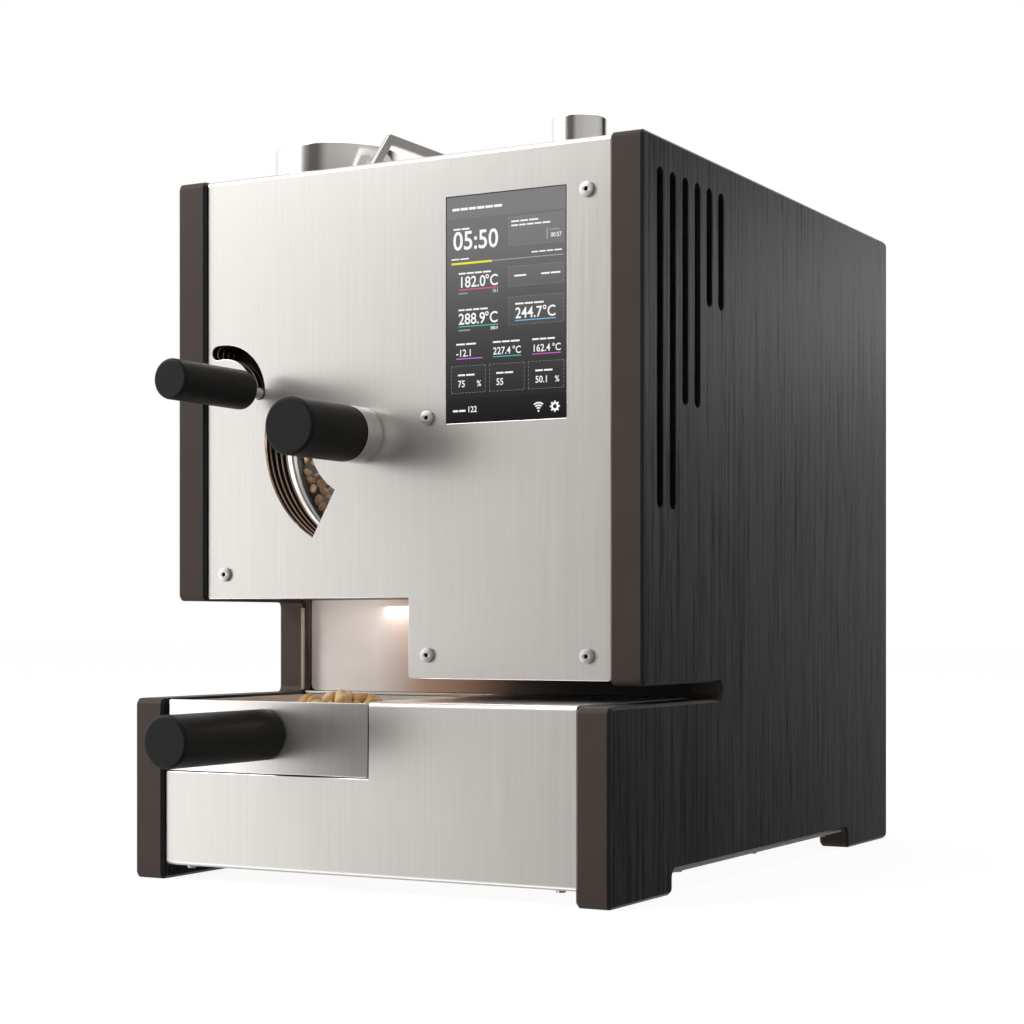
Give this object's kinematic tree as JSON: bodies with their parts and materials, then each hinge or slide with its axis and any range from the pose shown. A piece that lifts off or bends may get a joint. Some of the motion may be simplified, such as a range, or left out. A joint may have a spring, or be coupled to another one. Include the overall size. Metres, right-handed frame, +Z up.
{
  "type": "countertop drum coffee roaster",
  "caption": "Countertop drum coffee roaster with a hopper, charge lever, sampling trier, touch display, hinged chaff lid and pull-out cooling tray.",
  "frame": {"origin": "Middle of the footprint with the tray handle, on the surface that the feet stand on.", "axes": "+Z up; -Y is the front with the handles and the display; +X is the right side seen from the front."},
  "size_m": [0.33, 0.5612, 0.466],
  "materials": {
    "black_anodised": "black anodised with a vertical brushed grain",
    "panel_steel": "vertical brushed stainless",
    "polished_steel": "bright turned stainless",
    "plated_steel": "plated",
    "cast_alloy": "cast",
    "drum_steel": "heat darkened",
    "shield_enamel": "matte black heat-proof coat",
    "black_grip": "fine matte",
    "touch_screen": "glossy display",
    "circuit_board": "solder mask",
    "clear_glass": "clear",
    "ceramic": "ceramic"
  },
  "bodies": {
    "root": {"right_side_plate": "black_anodised", "left_side_plate": "black_anodised", "upper_front_panel": "panel_steel", "panel_screw_1": "plated_steel", "panel_screw_2": "plated_steel", "panel_screw_3": "plated_steel", "panel_screw_4": "plated_steel", "panel_screw_5": "plated_steel", "display": "touch_screen", "control_board": "circuit_board", "heat_shield_1": "shield_enamel", "heat_shield_2": "shield_enamel", "heat_shield_3": "shield_enamel", "heat_shield_4": "shield_enamel", "window_frame": "polished_steel", "window_glass": "clear_glass", "drum_front_plate": "cast_alloy", "lever_pivot_pin": "plated_steel", "trier_collar": "panel_steel", "drum_housing": "cast_alloy", "drum_bearing": "plated_steel", "motor_bracket": "panel_steel", "drum_motor": "plated_steel", "heater": "ceramic", "hopper": "polished_steel", "charge_chute": "panel_steel", "door_servo": "black_grip", "chaff_box": "panel_steel", "lid_hinge": "plated_steel", "exhaust_fan_casing": "cast_alloy", "exhaust_pipe": "polished_steel", "exhaust_fan_motor": "black_grip", "lower_front_panel": "panel_steel", "tray_guide": "panel_steel", "bay_ceiling": "shield_enamel", "bay_back_wall": "panel_steel", "cooling_fan_frame": "black_grip", "base_plate": "panel_steel", "top_cover": "panel_steel", "rear_panel": "panel_steel", "power_inlet": "black_grip", "power_supply": "plated_steel"},
    "charge_lever": {"charge_lever_handle": "black_grip", "charge_lever_stem": "polished_steel", "charge_gate": "panel_steel"},
    "trier_bush": {"trier_sleeve": "plated_steel"},
    "trier": {"trier_handle": "black_grip", "trier_scoop": "panel_steel"},
    "drum": {"drum": "drum_steel", "shaft_coupling": "cast_alloy"},
    "discharge_door": {"discharge_door": "panel_steel"},
    "chaff_lid": {"chaff_lid": "panel_steel", "lid_handle": "polished_steel"},
    "exhaust_impeller": {"exhaust_impeller": "cast_alloy"},
    "cooling_tray": {"tray_face": "panel_steel", "tray_handle": "black_grip", "tray_bin": "panel_steel", "tray_screen": "panel_steel"},
    "cooling_fan": {"cooling_fan_rotor": "black_grip"},
    "power_rocker": {"power_rocker": "black_grip"}
  },
  "joints": [
    {"name": "charge_lever_swing", "type": "hinge", "parent": "root", "child": "charge_lever", "pos_m": [-0.1306, -0.10845, 0.304], "axis": [0, -1, 0], "range_deg": [0, 100]},
    {"name": "trier_turn", "type": "hinge", "parent": "root", "child": "trier_bush", "pos_m": [-0.028, -0.14235, 0.274], "axis": [0, -1, 0], "range_deg": [0, 180]},
    {"name": "trier_slide", "type": "slide", "parent": "trier_bush", "child": "trier", "axis": [0, -1, 0], "range_m": [0, 0.085]},
    {"name": "drum_spin", "type": "hinge", "parent": "root", "child": "drum", "pos_m": [-0.028, -0.05665, 0.274], "axis": [0, 1, 0], "continuous": true},
    {"name": "discharge_door_swing", "type": "hinge", "parent": "root", "child": "discharge_door", "pos_m": [-0.0145, -0.11015, 0.2315], "axis": [-1, 0, 0], "range_deg": [0, 65]},
    {"name": "chaff_lid_swing", "type": "hinge", "parent": "root", "child": "chaff_lid", "pos_m": [0.051, -0.06035, 0.4459], "axis": [0, 1, 0], "range_deg": [0, 100]},
    {"name": "exhaust_fan_spin", "type": "hinge", "parent": "root", "child": "exhaust_impeller", "pos_m": [0.105, -0.05535, 0.388], "axis": [1, 0, 0], "continuous": true},
    {"name": "cooling_tray_slide", "type": "slide", "parent": "root", "child": "cooling_tray", "axis": [0, -1, 0], "range_m": [0, 0.12]},
    {"name": "cooling_fan_spin", "type": "hinge", "parent": "root", "child": "cooling_fan", "pos_m": [-0.0677, -0.10535, 0.028], "axis": [0, 0, 1], "continuous": true},
    {"name": "power_rocker_tilt", "type": "hinge", "parent": "root", "child": "power_rocker", "pos_m": [0.096, 0.27595, 0.086], "axis": [-1, 0, 0], "range_deg": [0, 24]}
  ]
}
